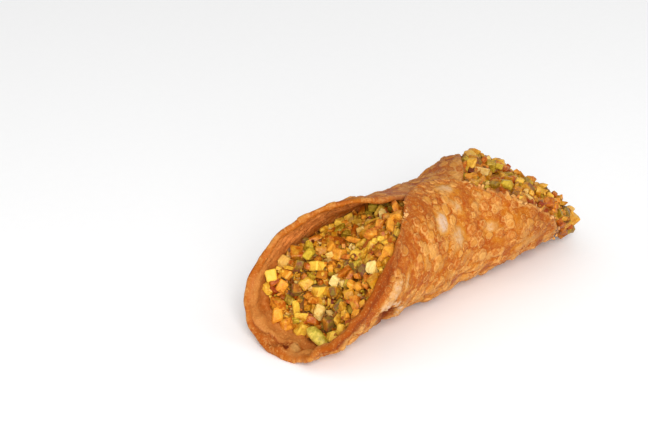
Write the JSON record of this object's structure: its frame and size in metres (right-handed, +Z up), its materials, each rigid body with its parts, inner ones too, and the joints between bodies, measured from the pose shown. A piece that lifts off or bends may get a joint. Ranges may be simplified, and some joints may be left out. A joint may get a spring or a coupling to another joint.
{
  "type": "filled cannolo pastry",
  "caption": "Fried pastry tube with an overlapping seam and slanted open ends, filled with cream and capped at both ends with chopped pistachios.",
  "frame": {"origin": "middle of the underside: the centre of the bounding box in plan, on the surface that the pastry rests on", "axes": "+X along the roll from the longer slanted mouth to the other end, +Y away from the side whose flap lies on top, +Z up through the lap"},
  "size_m": [0.1414, 0.0462, 0.0415],
  "materials": {
    "pastry": "fried, uneven, lightly oily",
    "cream": "soft, slightly moist",
    "pistachio": "chopped, slightly oily"
  },
  "bodies": {
    "root": {"pastry_shell": "pastry", "cream_filling": "cream", "pistachio_coat_front": "pistachio", "pistachio_coat_back": "pistachio"}
  },
  "joints": []
}
